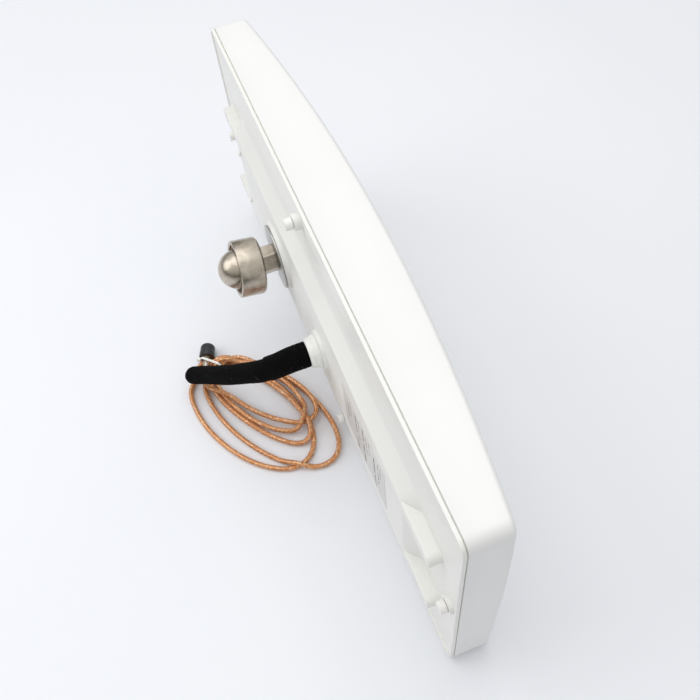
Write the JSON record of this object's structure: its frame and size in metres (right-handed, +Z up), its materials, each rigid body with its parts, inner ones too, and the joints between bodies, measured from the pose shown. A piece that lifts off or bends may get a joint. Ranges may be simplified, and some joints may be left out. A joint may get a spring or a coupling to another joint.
{
  "type": "security gate antenna panel",
  "caption": "Slim bowed rectangular antenna panel of a retail security gate, with a ball swivel on its back and a sleeved coaxial lead, coiled and tied, ending in a capped connector.",
  "frame": {"origin": "on the floor, under the middle of the box of the panel and its swivel", "axes": "+Z up; the panel stands on its long edge with its length along X; -Y faces out of the bowed front and +Y out of the back, where the ball swivel and the cable are"},
  "size_m": [0.57, 0.2006, 0.254],
  "materials": {
    "housing_white": "moulded white ABS, light satin gloss",
    "back_white": "moulded off-white plastic, fine matt grain",
    "gasket": "dark olive foam rubber",
    "screw_nylon": "natural white nylon",
    "fitting_white": "moulded white nylon",
    "label": "blank coated paper, slightly glossy",
    "sheet_aluminium": "mill finish sheet",
    "board": "green circuit board",
    "brass": "bright turned brass",
    "steel": "zinc plated steel",
    "swivel_nickel": "turned steel, warm nickel plating",
    "sleeve_black": "black fuzzy woven sleeve",
    "coax_tan": "translucent tan jacket over copper braid",
    "cap_black": "black soft plastic cap"
  },
  "bodies": {
    "panel": {"front_cover": "housing_white", "back_plate": "back_white", "seam_gasket": "gasket", "top_cover_screw": "screw_nylon", "bottom_cover_screw": "screw_nylon", "near_cover_screw": "screw_nylon", "far_cover_screw": "screw_nylon", "upper_drain_plug": "fitting_white", "lower_drain_plug": "fitting_white", "rating_label": "label", "ground_plane": "sheet_aluminium", "ground_plane_spacer_1": "screw_nylon", "ground_plane_spacer_2": "screw_nylon", "ground_plane_spacer_3": "screw_nylon", "ground_plane_spacer_4": "screw_nylon", "feed_board": "board", "near_patch": "sheet_aluminium", "far_patch": "sheet_aluminium", "near_patch_post": "screw_nylon", "far_patch_post": "screw_nylon", "near_feed_pin": "brass", "far_feed_pin": "brass", "inner_pigtail": "coax_tan", "stiffener_plate": "steel", "lock_washer": "steel", "stud_nut": "steel", "mount_washer": "steel", "ball_stud": "swivel_nickel", "cable_gland": "fitting_white", "gland_lock_nut": "fitting_white", "sleeve_boot": "sleeve_black", "cable_sleeve": "sleeve_black", "coax_lead": "coax_tan", "coax_coil": "coax_tan", "cable_tie": "screw_nylon", "connector_body": "swivel_nickel", "connector_insulator": "screw_nylon", "centre_contact": "brass"},
    "collar_seat": {"seat_ring": "screw_nylon"},
    "collar": {"retaining_collar": "swivel_nickel"},
    "connector_nut": {"coupling_nut": "swivel_nickel"},
    "cap": {"dust_cap": "cap_black"}
  },
  "joints": [
    {"name": "collar_slide", "type": "slide", "parent": "panel", "child": "collar_seat", "axis": [0, 1, 0], "range_m": [-0.01, 0.004]},
    {"name": "collar_spin", "type": "hinge", "parent": "collar_seat", "child": "collar", "pos_m": [0.0873, 0.04612, 0.127], "axis": [0, 0.9857, 0.1685], "continuous": true},
    {"name": "connector_nut_spin", "type": "hinge", "parent": "panel", "child": "connector_nut", "pos_m": [0.105, 0.09882, 0.0084], "axis": [0.9397, -0.342, 0], "continuous": true},
    {"name": "cap_slide", "type": "slide", "parent": "connector_nut", "child": "cap", "axis": [0.9397, -0.342, 0], "range_m": [0, 0.014]}
  ]
}
